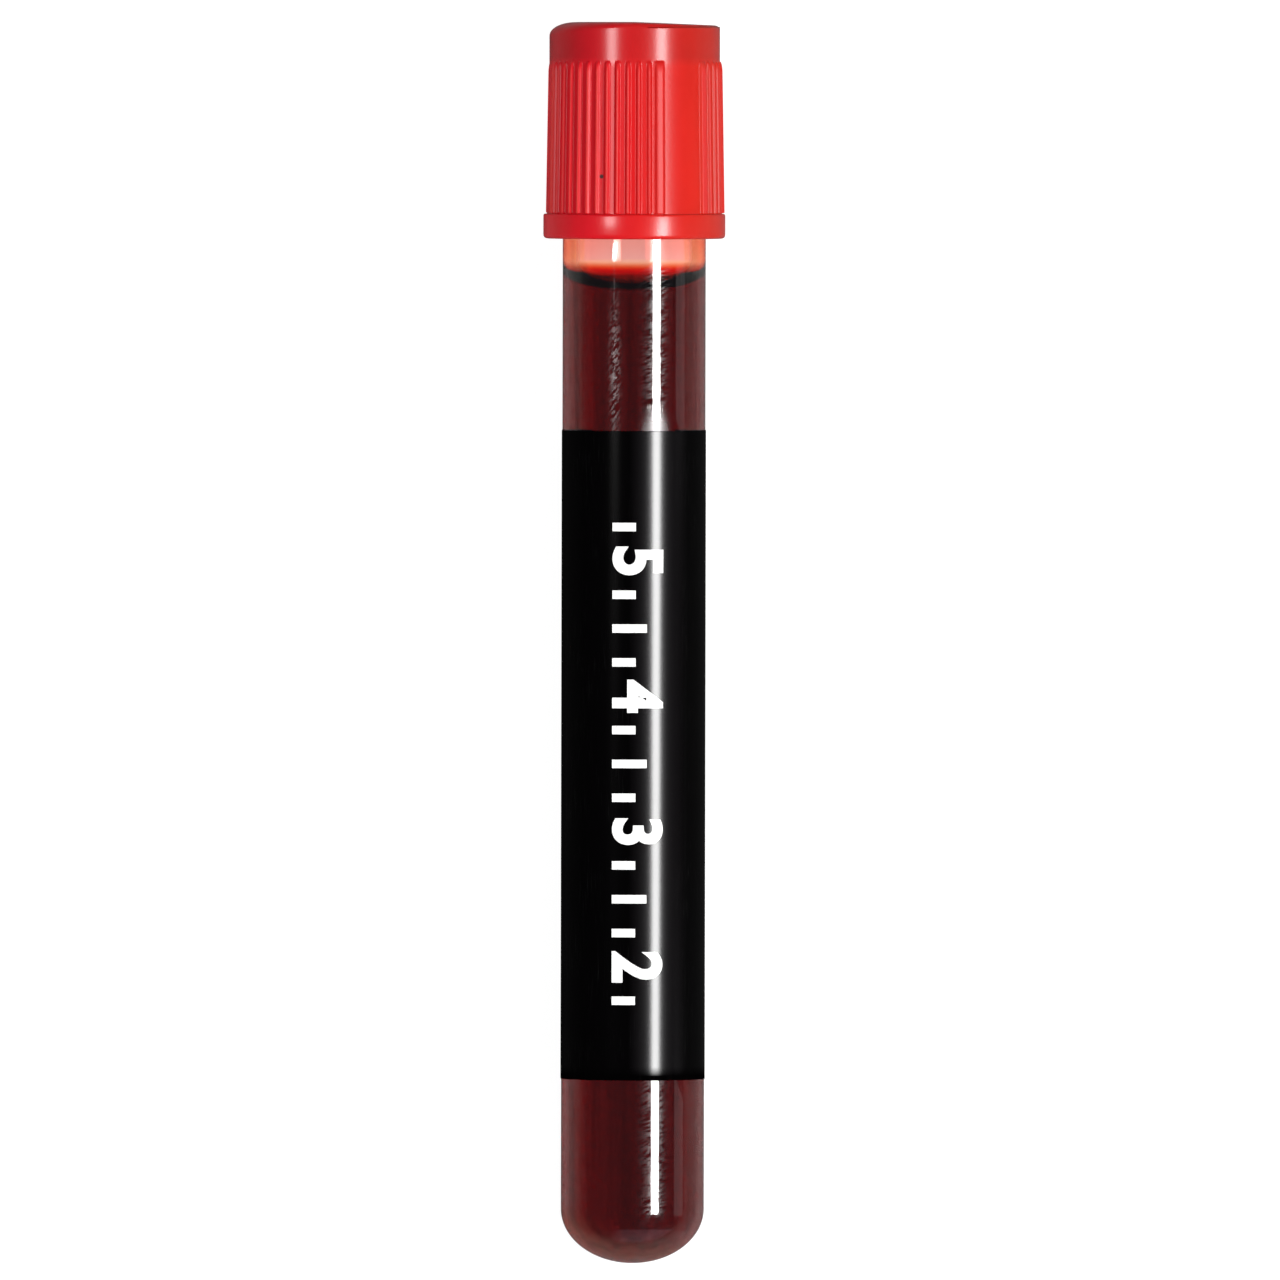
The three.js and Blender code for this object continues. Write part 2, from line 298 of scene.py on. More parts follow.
# %% [markdown]
# ## The sizes
#
# The overall sizes are read from the frame. What no box can tell, such as a wall, a fillet or the place of a
# rib, has the value that the part's own drawing gives it.

# %% Sizes in millimetres
_, TUBE_TOP, TUBE_RADIUS = span("tube")
CAP_BOTTOM, CAP_TOP, FLANGE_RADIUS = span("cap")
LABEL_BOTTOM, LABEL_TOP, _ = span("label")
PLUG_BOTTOM, BOSS_TOP, STOPPER_RADIUS = span("stopper")

TUBE_WALL, BASE_HEIGHT, BASE_WALL = 1.2, 4.85, 1.3
BORE = TUBE_RADIUS - TUBE_WALL
print(f"tube {2 * TUBE_RADIUS:.2f} x {TUBE_TOP:.1f}, bore {2 * BORE:.2f}, cap {2 * FLANGE_RADIUS:.2f} wide")

# %% [markdown]
# ## The tube
#
# The tube is injection moulded from clear polyester plastic. Its outline starts at the tip of the base, runs
# up the outside, over the rounded lip and back down the bore to the inside of the base. That one closed skin
# has a real wall thickness, which is what bends light as the real wall does: where there is air inside, the
# wall shows as a band along each edge, and where there is blood inside, the blood seems to fill the tube.

# %% Tube
lip = TUBE_WALL / 2
lip_centre = (TUBE_RADIUS - lip, TUBE_TOP - lip)
tube_outline = outline(
    quarter((0, 0), (TUBE_RADIUS, BASE_HEIGHT), (0, BASE_HEIGHT), 40)
    + straight((TUBE_RADIUS, BASE_HEIGHT + 0.2), (TUBE_RADIUS, 86.0), 30)
    + straight((TUBE_RADIUS, 86.1), (TUBE_RADIUS, 90.0), 39)
    + straight((TUBE_RADIUS, 90.2), (TUBE_RADIUS, TUBE_TOP - lip - 0.2), 6)
    + quarter((TUBE_RADIUS, TUBE_TOP - lip), (TUBE_RADIUS - lip, TUBE_TOP), lip_centre, 6)
    + quarter((TUBE_RADIUS - lip, TUBE_TOP), (BORE, TUBE_TOP - lip), lip_centre, 6)[1:]
    + straight((BORE, TUBE_TOP - lip - 0.2), (BORE, 90.2), 6)
    + straight((BORE, 90.0), (BORE, 86.1), 39)
    + straight((BORE, 86.0), (BORE, BASE_HEIGHT + 0.2), 30)
    + quarter((BORE, BASE_HEIGHT), (0, BASE_WALL), (0, BASE_HEIGHT), 40)
)
tube, _ = skin("tube_wall", tube_outline[:, :1], around(288), tube_outline[:, 1:])
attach(tube, "tube")
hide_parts("tube")
report(tube)

# %% [markdown]
# ## The blood
#
# The blood is a column that touches the wall all round. Its surface set while the tube was standing, and it
# climbs the wall in a deep quarter-round meniscus. Above that, the bore is still coated with a thin film
# of blood up to the stopper, because the tube has been turned over: the empty part looks pink, and deeper
# along its edges, where light runs through the film at a slant. Column, meniscus and film are one skin, so no
# seam shows between them.
#
# The skin is a hundredth of a millimetre wider than the bore. A ray that crosses both skins then bends as it
# does from plastic straight into liquid, and no thin layer of air is left between them, which would mirror
# like foil.

# %% Blood
BLOOD_LEVEL, BLOOD_LEAN, MENISCUS = 86.5, 0.15, 2.65
FILM, FILM_MORE, FILM_TOP = 0.103, 0.03, PLUG_BOTTOM - 0.1
blood_radius = BORE + 0.01
pool_edge = blood_radius - FILM


def surface_height(radius, bearing):
    """Level, minus the lean, which grows with the share of the way from the back of the bore to the front,
    plus a quarter round at the wall: the meniscus times 1 - root of (1 - share^2), where share is 1 at the
    film and 0 at the meniscus' own size from it."""
    lean = BLOOD_LEAN * (1 + radius / pool_edge * np.cos(bearing)) / 2
    share = np.clip(1 - (pool_edge - radius) / MENISCUS, 0, 1)
    return BLOOD_LEVEL - lean + MENISCUS * (1 - np.sqrt(1 - share**2))


columns = around(288)[None]
dome = outline(quarter((0, BASE_WALL - 0.01), (blood_radius, BASE_HEIGHT), (0, BASE_HEIGHT), 40))
contact = surface_height(pool_edge, columns)
wall_height = BASE_HEIGHT + np.linspace(0, 1, 25)[1:, None] * (contact - BASE_HEIGHT)
film_height = contact + np.linspace(0, 1, 9)[1:, None] * (FILM_TOP - contact)
from_film = np.concatenate([np.geomspace(0.0004, pool_edge - 0.05, 80), [pool_edge]])
pool_radius = (pool_edge - from_film)[:, None]
pool_radius[-1] = 0
pool_height = surface_height(pool_radius, columns)
pool_height[-1] = surface_height(0.0, 0.0)
blood_r = [dome[:, :1], np.full_like(wall_height[:, :1], blood_radius), np.full((8, 1), blood_radius)]
film_inside = pool_edge - FILM_MORE * np.clip(3 * np.linspace(1, 0, 9)[:, None], 0, 1)
blood_r += [film_inside, pool_radius]
blood_h = [dome[:, 1:] + 0 * columns, wall_height, film_height, film_height[::-1], contact, pool_height]
blood, _ = skin("blood_column", np.concatenate(blood_r) + 0 * columns, columns, np.concatenate(blood_h))
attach(blood, "tube")
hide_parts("blood")
report(blood)
print(f"blood stands at {surface_height(0.0, 0.0):.2f} mm on the axis, and touches the film from "
      f"{contact.min():.2f} to {contact.max():.2f} mm")

# %% [markdown]
# ## The cap
#
# The cap is the most shaped moulding here. Up the outside come a rounded flange, a drafted skirt, a plain
# band and a soft shoulder. On the skirt stand three groups of thirteen grip ribs with a smooth panel between
# each group and the next. Inside are a needle well, the groove that holds the stopper, and the skirt bore.
#
# Ribs could be separate bars, arrayed and joined, but a moulding has none of the hairline seams that come
# with that. Here a rib is a term in the radius: the outline's radius, plus a height that depends on how
# far the bearing is from the nearest rib's middle, and fades out in a quarter round at the rib's upper end.

# %% Sizes of the cap
CAP_WALL, CAP_DRAFT, BAND_HEIGHT = 0.92, 0.2, 3.45
SEAT_GAP, FLANGE_HEIGHT = 0.3, 2.2
RIB_GROUPS, RIBS_IN_GROUP, RIBS_LEFT_OUT = 3, 13, 4
RIB_WIDTH, END_RIB_WIDTH, RIB_HEIGHT, RIB_ROUND, RIB_END = 0.56, 0.96, 0.25, 0.25, 1.1
PANEL_BEARING = math.radians(34.5)
WELL_RADIUS, WELL_WALL, WELL_RIM = 4.0, 0.9, 0.87
SKIRT_BORE = TUBE_RADIUS + SEAT_GAP
SNAP_BORE = SKIRT_BORE + 0.4
BAND_RADIUS = SKIRT_BORE + CAP_WALL
SKIRT_FOOT = BAND_RADIUS + CAP_DRAFT
BAND_BOTTOM = CAP_TOP - BAND_HEIGHT
FLANGE_TOP = CAP_BOTTOM + FLANGE_HEIGHT
STOPPER_BOTTOM = TUBE_TOP + SEAT_GAP
STOPPER_TOP = STOPPER_BOTTOM + 3.2
rib_places = RIBS_IN_GROUP + RIBS_LEFT_OUT
rib_pitch = 2 * math.pi / (RIB_GROUPS * rib_places)
print(f"{RIB_GROUPS * RIBS_IN_GROUP} ribs, one every {math.degrees(rib_pitch):.2f} degrees")


# %% Rib shape
def rib_section(bearing):
    """How much of its full height a rib has at a bearing. Places are counted from the middle of a panel, in
    pitches; the first rib of a group is half a place past the panel. Across a rib, the crest is flat and
    each edge rises softly as t^2 (3 - 2t), where t runs from 0 at the foot to 1."""
    place = (bearing - PANEL_BEARING) / rib_pitch % rib_places
    first = (RIBS_LEFT_OUT + 1) / 2
    nearest = np.clip(np.round(place - first), 0, RIBS_IN_GROUP - 1)
    aside = np.abs(place - first - nearest) * rib_pitch * BAND_RADIUS
    at_end = (nearest == 0) | (nearest == RIBS_IN_GROUP - 1)
    half_width = np.where(at_end, END_RIB_WIDTH, RIB_WIDTH) / 2
    t = np.clip((half_width - aside) / RIB_ROUND, 0, 1)
    return t**2 * (3 - 2 * t)


def rib_length(height):
    """How much of a rib is left at a height: all of it on the skirt, then a quarter circle down to nothing
    at the band."""
    t = np.clip((height - (BAND_BOTTOM - RIB_END)) / RIB_END, 0, 1)
    return np.where((height > FLANGE_TOP + 0.08) & (height < BAND_BOTTOM), np.sqrt(1 - t**2), 0)


def uneven_crown(radius, bearing, height):
    """Radius and height of the outline with the crown as uneven as it came out of the mould. The share is
    (1 - sine of the bearing) / 2 or (1 - cosine of it) / 2, whichever is more, to the fourth power: 1 on the
    left and at the back. The shoulder's drop and width both grow with it from their least to their most, so it
    is soft on the left and crisp on the right. The plate falls off to the right by a fixed slope."""
    share = ((1 - np.minimum(np.sin(bearing), np.cos(bearing))) / 2) ** 4
    drop = DROP_RIGHT + (SHOULDER_DROP - DROP_RIGHT) * share
    width = (DROP_RIGHT + (SHOULDER_WIDTH - DROP_RIGHT) * share) / SHOULDER_WIDTH
    depth = CAP_TOP - height
    outer = np.cumsum(radius < shoulder_top - 1e-6, axis=0) == 0
    on_shoulder = outer & (depth < SHOULDER_DROP)
    lower = drop + (depth - SHOULDER_DROP) * (BAND_HEIGHT - drop) / (BAND_HEIGHT - SHOULDER_DROP)
    depth_below = np.where(outer & (depth < BAND_HEIGHT), lower, depth)
    depth = np.where(on_shoulder, depth * drop / SHOULDER_DROP, depth_below)
    radius = np.where(on_shoulder, BAND_RADIUS - (BAND_RADIUS - radius) * width, radius)
    fall = CROWN_FALL * np.maximum(radius * np.sin(bearing), 0) * (CAP_TOP - height < SHOULDER_DROP)
    return radius, CAP_TOP - depth - fall


# %% Cap
shoulder_top = WELL_RADIUS + 0.4 + WELL_RIM
plate_under = CAP_TOP - 1.4
crown_bore = BAND_RADIUS - 1.15
well_bottom = STOPPER_TOP + SEAT_GAP
SHOULDER_WIDTH = BAND_RADIUS - shoulder_top
SHOULDER_DROP, DROP_RIGHT, CROWN_FALL = 1.2, 0.36, 0.037
shoulder_foot = CAP_TOP - SHOULDER_DROP
cap_corners = (
    [
        (SKIRT_BORE + 0.45, CAP_BOTTOM, 0.08),
        (FLANGE_RADIUS, CAP_BOTTOM, 0.4),
        (FLANGE_RADIUS, FLANGE_TOP, 0.2),
        (SKIRT_FOOT, FLANGE_TOP, 0.06),
    ]
    + [(SKIRT_FOOT, FLANGE_TOP + 0.1, 0)]
    + straight((SKIRT_FOOT, FLANGE_TOP + 0.15), (BAND_RADIUS, BAND_BOTTOM - RIB_END), 12)
    + straight((BAND_RADIUS, BAND_BOTTOM - RIB_END + 0.1), (BAND_RADIUS, BAND_BOTTOM), 12)
    + straight((BAND_RADIUS, BAND_BOTTOM + 0.1), (BAND_RADIUS, CAP_TOP - SHOULDER_DROP - 0.1), 4)
    + quarter((BAND_RADIUS, shoulder_foot), (shoulder_top, CAP_TOP), (shoulder_top, shoulder_foot), 14)
    + [
        (WELL_RADIUS, CAP_TOP, 0.4),
        (WELL_RADIUS, well_bottom, 0.15),
        (WELL_RADIUS + WELL_WALL, well_bottom, 0.15),
        (WELL_RADIUS + WELL_WALL, plate_under, 0.2),
        (crown_bore, plate_under, 0.2),
        (crown_bore, well_bottom + 0.5, 0.1),
        (SNAP_BORE, well_bottom, 0.06),
        (SNAP_BORE, STOPPER_BOTTOM, 0.06),
        (SKIRT_BORE, STOPPER_BOTTOM - 0.5, 0.06),
        (SKIRT_BORE, CAP_BOTTOM + 0.45, 0.06),
    ]
)
cap_outline = outline(cap_corners, ring=True)
cap_bearing = around(16 * RIB_GROUPS * rib_places)[None]
cap_r, cap_h = cap_outline[:, :1], cap_outline[:, 1:]
outside = cap_r > SKIRT_BORE + 0.5
crest = rib_section(cap_bearing) * rib_length(cap_h) * outside
cap_r, cap_h = uneven_crown(cap_r, cap_bearing, cap_h)
cap, cap_used = skin("cap_moulding", cap_r + RIB_HEIGHT * crest, cap_bearing, cap_h, ring=True)
mark = cap.data.attributes.new("crest", "FLOAT", "POINT")
mark.data.foreach_set("value", crest.reshape(-1)[cap_used].astype(np.float32))
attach(cap, "closure")
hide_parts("cap")
report(cap)

# %% [markdown]
# ## The stopper
#
# The stopper is moulded rubber: a hollow plug with two sealing bands, a flange that the cap holds, and a boss
# whose dimple guides the needle. It is a plain turned shape, with softened corners as rubber has.

# %% Stopper
plug_radius = BORE - SEAT_GAP
boss_radius = WELL_RADIUS - SEAT_GAP
plug_band = (STOPPER_BOTTOM - PLUG_BOTTOM) / 5
hollow = plug_radius - 1.9
hollow_top = BOSS_TOP - 0.9 - 3
stopper_outline = outline(
    quarter((0, hollow_top), (hollow, hollow_top - hollow / 2), (0, hollow_top - hollow / 2), 10)[:-1]
    + [
        (hollow, hollow_top - hollow / 2, 0),
        (hollow, PLUG_BOTTOM, 0.25),
        (plug_radius - 0.4, PLUG_BOTTOM, 0.2),
        (plug_radius, PLUG_BOTTOM + plug_band, 0.3),
        (plug_radius, PLUG_BOTTOM + 2 * plug_band, 0.3),
        (plug_radius - 0.22, PLUG_BOTTOM + 2.5 * plug_band, 0.3),
        (plug_radius - 0.22, PLUG_BOTTOM + 3.5 * plug_band, 0.3),
        (plug_radius, PLUG_BOTTOM + 4 * plug_band, 0.3),
        (plug_radius, STOPPER_BOTTOM, 0.15),
        (STOPPER_RADIUS, STOPPER_BOTTOM, 0.3),
        (STOPPER_RADIUS, STOPPER_TOP, 0.3),
        (boss_radius, STOPPER_TOP, 0.15),
        (boss_radius, BOSS_TOP, 0.3),
    ]
    + quarter((2.7, BOSS_TOP), (0, BOSS_TOP - 0.9), (0, BOSS_TOP), 12)
)
stopper, _ = skin("rubber_stopper", stopper_outline[:, :1], around(160), stopper_outline[:, 1:])
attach(stopper, "closure")
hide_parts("stopper")
report(stopper)

# %% [markdown]
# ## The label
#
# The label is a black printed film, wrapped round the tube with its two ends stopping short of each other
# at the back. A sheet is bent to the tube's radius, and the Solidify modifier gives it its thickness.

# %% Label
LABEL_FILM, LABEL_WINDOW = 0.05, math.radians(35)
label_radius = TUBE_RADIUS + LABEL_FILM + 0.005
half_wrap = math.pi - LABEL_WINDOW / 2


def with_edges(end, edge, count):
    """Even steps from -end to end, with one more close to each end, so that smooth shading stays flat up to
    the edge of the film."""
    inner = np.linspace(-end + edge, end - edge, count)
    return np.concatenate([[-end], inner, [end]])


label_bearing = with_edges(half_wrap, 0.006, 261)[None]
label_half = (LABEL_TOP - LABEL_BOTTOM) / 2
label_height = (LABEL_TOP + LABEL_BOTTOM) / 2 + with_edges(label_half, 0.04, 41)[:, None]
label, _ = skin("label_film", label_radius, label_bearing, label_height, round_=False)
film = label.modifiers.new("film", "SOLIDIFY")
film.thickness, film.offset = LABEL_FILM * MM, -1
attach(label, "tube")
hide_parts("label")
report(label)

# %% [markdown]
# ## The scale on the label
#
# White ink reads down the label: a scale of the volume below each mark, in millilitres. One millilitre fills
# a length of bore equal to 1000 mm3 over the bore's area. Numerals are set as text and made a mesh, the marks
# are flat bars, and all of it is sliced across so that it can bend, then wrapped round the label.

# %% Scale
INK = 0.012
ML_LENGTH = 1000 / (math.pi * BORE**2)
base_volume = math.pi * BORE**2 * (BASE_HEIGHT - BASE_WALL) * 2 / 3
ACROSS_LOW, ACROSS_HIGH = -1.9, 2.7


def level_of(millilitres):
    """Height of a volume: the round base holds two thirds of its own cylinder, and the bore holds the rest."""
    return BASE_HEIGHT + (1000 * millilitres - base_volume) / (math.pi * BORE**2)


def numeral(text):
    """A flat bold numeral as a mesh, scaled to the height of the scale's numerals, its middle at 0."""
    curve = bpy.data.curves.new("numeral", "FONT")
    curve.body, curve.size, curve.offset, curve.resolution_u = text, 1.0, 0.035, 8
    holder = bpy.data.objects.new("numeral", curve)
    bpy.context.scene.collection.objects.link(holder)
    bpy.context.view_layer.update()
    mesh = bpy.data.meshes.new_from_object(holder.evaluated_get(bpy.context.evaluated_depsgraph_get()))
    bpy.data.objects.remove(holder)
    points = np.empty(3 * len(mesh.vertices))
    mesh.vertices.foreach_get("co", points)
    points = points.reshape(-1, 3)
    low, high = points.min(0), points.max(0)
    points = (points - (low + high) / 2) * (ACROSS_HIGH - ACROSS_LOW) / (high[1] - low[1])
    points[:, 0] *= 0.92
    return points, [tuple(polygon.vertices) for polygon in mesh.polygons]


def bar(length, width):
    """A flat mark: a rectangle that is length high and width wide, its foot at 0."""
    half = width / 2
    points = np.array([[-half, 0, 0], [half, 0, 0], [half, length, 0], [-half, length, 0]])
    return points, [(0, 1, 2, 3)]


flat_points, flat_faces = [], []


def print_flat(shape, reading, across):
    """Adds a flat shape to the print: reading runs down the tube in millimetres, across runs to the right."""
    points, faces = shape
    start = sum(len(p) for p in flat_points)
    flat_points.append(points + [reading, across, 0])
    flat_faces.extend(tuple(start + i for i in face) for face in faces)


for millilitres in (2, 3, 4, 5):
    print_flat(numeral(str(millilitres)), -level_of(millilitres), (ACROSS_LOW + ACROSS_HIGH) / 2)
for quarter_mark in range(7, 22):
    if quarter_mark % 4:
        tall = 3.1 if quarter_mark % 2 == 0 else 2.1
        print_flat(bar(tall, 0.75), -level_of(quarter_mark / 4), ACROSS_LOW)
print(f"1 mL is {ML_LENGTH:.2f} mm; 5 mL is at {level_of(5):.1f} mm")

# %% Wrap the scale round the label
flat = bpy.data.meshes.new("flat_print")
flat.from_pydata(np.concatenate(flat_points), [], flat_faces)
work = bmesh.new()
work.from_mesh(flat)
for cut in np.arange(ACROSS_LOW + 0.2, ACROSS_HIGH, 0.2):
    bmesh.ops.bisect_plane(
        work, geom=[*work.verts, *work.edges, *work.faces], plane_co=(0, cut, 0), plane_no=(0, 1, 0)
    )
bmesh.ops.triangulate(work, faces=work.faces)
flat_xy = np.array([vertex.co for vertex in work.verts])
on_label = placed(label_radius + INK + 0.004, flat_xy[:, 1] / label_radius, -flat_xy[:, 0])
work.to_mesh(flat)
work.free()
flat.vertices.foreach_set("co", on_label.ravel())
flat.update()
ink = bpy.data.objects.new("label_print", flat)
bpy.context.scene.collection.objects.link(ink)
layer = ink.modifiers.new("ink", "SOLIDIFY")
layer.thickness, layer.offset = INK * MM, -1
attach(ink, "tube")
report(ink)

# %% [markdown]
# ## Clear plastic
#
# Clear polyester bends light strongly, with an index of refraction of 1.57. One tube needs three finishes of it.
# Outside and above the blood it is bare. Where blood or its film touches the bore, the finish mirrors nothing:
# light goes from plastic into liquid there with hardly any reflection, and the two skins would add a false one.
#
# Handling leaves fine scratches. Scratches could be cut as bump, but they are far finer than a bump can show
# from here, so they are a thin rough coat laid on in strokes: a hatch beside the front, a rubbed patch to the
# left above the label, and a dull edge where the label's glue ends. The base is painted a little orange on its
# left side and at its tip, and the wall a little yellow at its sides above the blood. Both are painted light:
# the glow of light through the thin blood at the base, and through the red cap and the film along the wall.

# %% Where on the tube
def dot(material, vector):
    """How far a place is along a direction: its object coordinates times that direction, in metres."""
    place = add(material, "TexCoord").outputs["Object"]
    return add(material, "VectorMath", {0: place, 1: tuple(vector)}, operation="DOT_PRODUCT").outputs["Value"]


def bearing_of(material):
    """The bearing of a place: the angle whose tangent is its way to the right over its way to the front."""
    to_front = times(material, dot(material, FRONT), float(TIP @ FRONT), "SUBTRACT")
    return times(material, dot(material, RIGHT), to_front, "ARCTAN2")


def height_of(material):
    """The height of a place above the tip, in millimetres."""
    return times(material, times(material, dot(material, AXIS), float(TIP @ AXIS), "SUBTRACT"), 1 / MM)


def near(material, value, middle, reach):
    """1 at the middle value, falling to 0 at its reach on either side."""
    away = times(material, times(material, value, middle, "SUBTRACT"), 0.0, "ABSOLUTE")
    return between(material, away, 0.0, reach, 1.0, 0.0)


# %% Clear finishes
CLEAR = {"Base Color": (1, 1, 1, 1), "Roughness": 0.012, "IOR": 1.57, "Transmission Weight": 1.0}
WETTED = CLEAR | {"Specular Tint": (0, 0, 0, 1)}
clear, clear_shader = finish("clear polyester", CLEAR | {"Coat Roughness": 0.22, "Coat IOR": 1.57})
bearing_here, height_here = bearing_of(clear), height_of(clear)
rubbed = times(
    clear, near(clear, bearing_here, math.radians(-16), math.radians(9)), near(clear, height_here, 79.0, 8.5)
)
strokes = between(clear, grain(clear, stretched(clear, (1900, 7400, 900), -37), 1.0, 1.0), 0.47, 0.6)
by_stripe = times(clear, times(clear, bearing_here, math.radians(17.5), "SUBTRACT"), 0.0, "ABSOLUTE")
by_stripe = between(clear, by_stripe, math.radians(9), math.radians(16), 1.0, 0.0)
label_edge = times(clear, near(clear, height_here, LABEL_TOP, 2.4), by_stripe)
feed(clear, between(clear, label_edge, 0.0, 1.0, 0.012, 0.4), clear_shader.inputs["Roughness"])
hatch = between(clear, grain(clear, stretched(clear, (1500, 6800, 900), -66), 1.0, 1.0), 0.42, 0.6)
handled = between(clear, grain(clear, stretched(clear, (160, 500, 500)), 1.0), 0.3, 0.7, 0.45, 1.0)
haze = times(clear, times(clear, hatch, handled), by_stripe)
haze = times(clear, haze, label_edge, "MAXIMUM")
smear_marks = times(clear, times(clear, rubbed, strokes), 0.85)
haze = times(clear, haze, smear_marks, "MAXIMUM")
feed(clear, haze, clear_shader.inputs["Coat Weight"])
# Painted light: orange on the left of the base and at its tip, for light through the thin blood there.
painted_base_glow = times(
    clear, times(clear, between(clear, height_here, 5.4, 3.6), between(clear, bearing_here, 0.0, -0.6)),
    between(clear, height_here, 2.0, 0.8), "MAXIMUM",
)
tinted = blended(clear, painted_base_glow, (1, 1, 1), (1.0, 0.70, 0.50))
# Painted light: yellow at the sides of the wall above the blood, for light from the red cap and the film.
aside = times(clear, bearing_here, 0.0, "ABSOLUTE")
edge_on = times(clear, between(clear, aside, 0.9, 0.97), between(clear, aside, 2.1, 2.0))
over_blood = times(
    clear, between(clear, height_here, 88.8, 89.2), between(clear, height_here, FILM_TOP + 0.3, FILM_TOP)
)
painted_edge_glow = times(clear, edge_on, over_blood)
feed(clear, blended(clear, painted_edge_glow, tinted, (1.0, 0.97, 0.55)), clear_shader.inputs["Base Color"])
wetted, wetted_shader = finish("blood against polyester", WETTED)
filmed, _ = finish("blood film on polyester", WETTED)

# %% [markdown]
# Blood that touches plastic for a while clings to it in a thin layer, which runs down in long uneven streaks.
# The layer darkens what lies behind it. It is made as a tint of the bore: cloudy noise, drawn out along the
# tube, sets how much light each streak lets through. Along the sides the tint is paler, which is painted light
# that brightens the edges of the column. Just below the surface of the blood no layer has formed yet.

# %% Streaks of clinging blood
CONTACT = BLOOD_LEVEL + MENISCUS
DARKEST, PALEST, PAINTED_RIM = 0.06, 0.2, 0.15
from_front = times(wetted, bearing_of(wetted), 0.0, "ABSOLUTE")
runs = grain(wetted, stretched(wetted, (6, 900, 900)), 1.0, 2.0)
layer = between(wetted, runs, 0.35, 0.65, DARKEST, PALEST)
# Painted light: the tint is paler along the sides, to brighten the edges of the column.
painted_paler_sides = between(wetted, from_front, math.radians(60), math.radians(100), 0.0, PAINTED_RIM)
layer = times(wetted, layer, painted_paler_sides, "ADD")
layer = between(wetted, from_front, math.radians(100), math.radians(120), layer, 1.0)
layer = between(wetted, height_of(wetted), CONTACT - 1.45, CONTACT - 0.1, layer, 1.0)
feed(wetted, layer, wetted_shader.inputs["Base Color"])

# %% Finish of each face of the tube
for material in (clear, wetted, filmed):
    tube.data.materials.append(material)
face_radius, face_bearing, face_height = face_places(tube)
below_side = np.clip((BASE_HEIGHT - face_height) / (BASE_HEIGHT - BASE_WALL), 0, None)
in_bore = (face_radius / BORE) ** 2 + below_side**2 < 1.01
under_blood = face_height < surface_height(pool_edge, face_bearing)
tube_finish = np.where(in_bore & under_blood, 1, np.where(in_bore & (face_height < FILM_TOP), 2, 0))
tube.data.polygons.foreach_set("material_index", tube_finish.astype(np.int32))
print("faces in each finish", np.bincount(tube_finish))

# %% [markdown]
# ## Blood
#
# Seen against a bright ground, a thin layer of blood is orange, a few millimetres are red, and a whole tube
# is almost black. That is absorption: blue and green are stopped at once, and red dies away slowly. So the
# blood is a clear liquid whose volume absorbs, and its colour comes from how far light goes through it.

# %% Blood material
liquid, liquid_shader = finish(
    "dark blood",
    {"Base Color": (1, 1, 1, 1), "Roughness": 0.0, "IOR": 1.35, "Transmission Weight": 1.0,
     "Specular Tint": (0, 0, 0, 1)},
)
absorption = add(liquid, "VolumeAbsorption", {"Color": (0.967, 0.333, 0.0, 1), "Density": 6000.0})
feed(liquid, absorption.outputs[0], liquid.node_tree.nodes["Material Output"].inputs["Volume"])
smear, _ = finish(
    "blood film", {"Base Color": (1, 1, 1, 1), "Roughness": 0.0, "IOR": 1.35, "Transmission Weight": 1.0}
)
thinned = add(smear, "VolumeAbsorption", {"Color": (0.941, 0.264, 0.153, 1), "Density": 6000.0})
feed(smear, thinned.outputs[0], smear.node_tree.nodes["Material Output"].inputs["Volume"])
blood.data.materials.append(liquid)
blood.data.materials.append(smear)
face_radius, face_bearing, face_height = face_places(blood)
above_contact = face_height > surface_height(pool_edge, face_bearing)
in_film = (face_radius > pool_edge - FILM_MORE - 0.01) & above_contact
blood.data.polygons.foreach_set("material_index", in_film.astype(np.int32))
print("faces in each finish", np.bincount(in_film))

# %% [markdown]
# ## Red plastic
#
# The cap is polyethylene with a red pigment, which lets a little light in before it comes back, so it has some
# subsurface scattering. Its gloss has two parts. The plastic itself is satin, and more so on the crests of the
# ribs, where hands touch it. The flange and the band also have a thin smooth skin from the polished part of the
# mould, made as a coat, and the ribbed skirt has much less of it. The colour runs from crimson on the left to a
# more orange red on the right, which is painted light: the glow of the strong right lamp in the plastic. The
# band is darker, and darker still on its left, which is painted shade. The crests are painted a paler red, a
# painted sheen. One dark speck of burnt pigment sits beside a rib.

# %% Cap material
red, red_shader = finish(
    "red polyethylene",
    {
        "IOR": 1.5,
        "Specular IOR Level": 0.2,
        "Coat Roughness": 0.2,
        "Coat IOR": 1.45,
        "Subsurface Weight": 0.15,
        "Subsurface Radius": (0.9, 0.12, 0.08),
        "Subsurface Scale": 0.001,
    },
)
# Crimson to orange red across the cap is painted light; the crest red is a painted sheen.
CRIMSON, PAINTED_GLOW_RED, CREST_PAINTED_SHEEN = (0.60, 0.0005, 0.008), (0.54, 0.017, 0.008), (0.58, 0.022, 0.02)
on_crest = add(red, "Attribute", attribute_name="crest").outputs["Fac"]
sideways, cap_height = dot(red, RIGHT), height_of(red)
pigment = grain(red, stretched(red, (120, 260, 260)), 1.0, 3.0, 0.6)
# Painted light: orange red towards the right, where the strong lamp glows in the plastic.
body = blended(red, between(red, sideways, -0.004, 0.007), CRIMSON, PAINTED_GLOW_RED)
